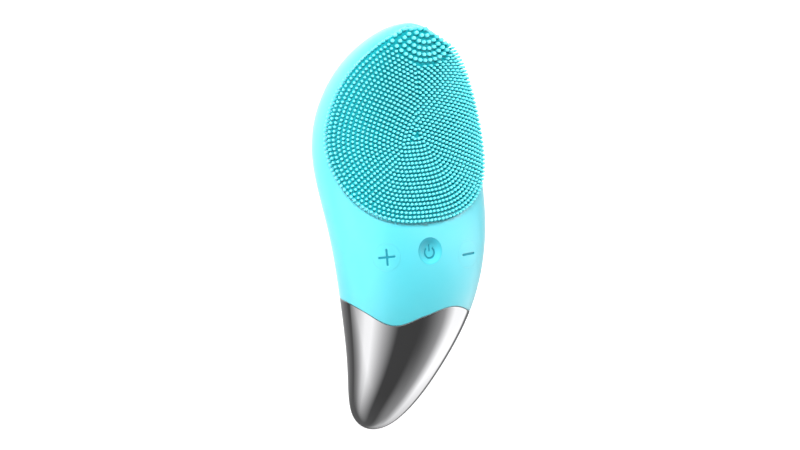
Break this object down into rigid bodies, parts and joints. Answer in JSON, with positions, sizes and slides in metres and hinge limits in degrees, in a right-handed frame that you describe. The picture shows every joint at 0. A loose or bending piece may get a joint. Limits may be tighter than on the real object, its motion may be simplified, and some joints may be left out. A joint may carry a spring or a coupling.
{
  "type": "facial cleansing brush",
  "caption": "Handheld sonic facial cleansing brush with an egg-shaped silicone bristle pad, soft silicone skin, push keys and a curved chromed tail",
  "frame": {"origin": "middle of the footprint, on the surface that the brush lies on with its bristles up", "axes": "+Y from the tail to the head, +Z out of the bristle face, +X across to the minus key"},
  "size_m": [0.062, 0.141, 0.0428],
  "materials": {
    "silicone": "soft satin cyan silicone",
    "bristle_silicone": "deeper cyan silicone with fine bristles",
    "chrome_plate": "dark mirror chrome plate",
    "seal_rubber": "matte black rubber",
    "white_plastic": "moulded white plastic",
    "black_plastic": "moulded black plastic",
    "red_plastic": "moulded red plastic",
    "lamp_plastic": "clear lamp plastic",
    "board_green": "green solder mask",
    "steel": "plated steel",
    "gold": "gold plated contact",
    "cell_wrap": "foil pouch",
    "foam": "grey cell foam"
  },
  "bodies": {
    "housing": {"silicone_sleeve": "silicone", "bristle_pad": "bristle_silicone", "tail_cap": "chrome_plate", "tail_seal": "seal_rubber", "core_front_shell": "white_plastic", "core_rear_shell": "white_plastic", "housing_gasket": "seal_rubber", "plus_switch": "black_plastic", "power_switch": "black_plastic", "minus_switch": "black_plastic", "housing_screw_1": "steel", "housing_screw_2": "steel", "housing_screw_3": "steel", "housing_screw_4": "steel", "circuit_board": "board_green", "control_chip": "black_plastic", "wire_connector": "white_plastic", "indicator_lamp": "lamp_plastic", "battery_cell": "cell_wrap", "battery_foam": "foam", "contact_holder": "black_plastic", "charge_contact_left": "gold", "charge_magnet_left": "steel", "charge_contact_right": "gold", "charge_magnet_right": "steel", "motor_can": "steel", "motor_end_cap": "white_plastic", "motor_sleeve": "seal_rubber", "motor_cradle": "black_plastic", "battery_wire_red": "red_plastic", "battery_wire_black": "black_plastic", "motor_wire_red": "red_plastic", "motor_wire_black": "black_plastic"},
    "plus_key": {"plus_button": "silicone", "plus_switch_plunger": "red_plastic"},
    "power_key": {"power_button": "silicone", "power_switch_plunger": "red_plastic"},
    "minus_key": {"minus_button": "silicone", "minus_switch_plunger": "red_plastic"},
    "rotor": {"motor_shaft": "steel", "eccentric_weight": "steel"}
  },
  "joints": [
    {"name": "plus_press", "type": "slide", "parent": "housing", "child": "plus_key", "axis": [0, 0, -1], "range_m": [0, 0.0005], "stiffness_N_per_m": 2000},
    {"name": "power_press", "type": "slide", "parent": "housing", "child": "power_key", "axis": [0, 0, -1], "range_m": [0, 0.0005], "stiffness_N_per_m": 2000},
    {"name": "minus_press", "type": "slide", "parent": "housing", "child": "minus_key", "axis": [0, 0, -1], "range_m": [0, 0.0005], "stiffness_N_per_m": 2000},
    {"name": "rotor_spin", "type": "hinge", "parent": "housing", "child": "rotor", "pos_m": [0.00037, 0.03485, 0.02139], "axis": [1, 0, 0], "continuous": true}
  ]
}
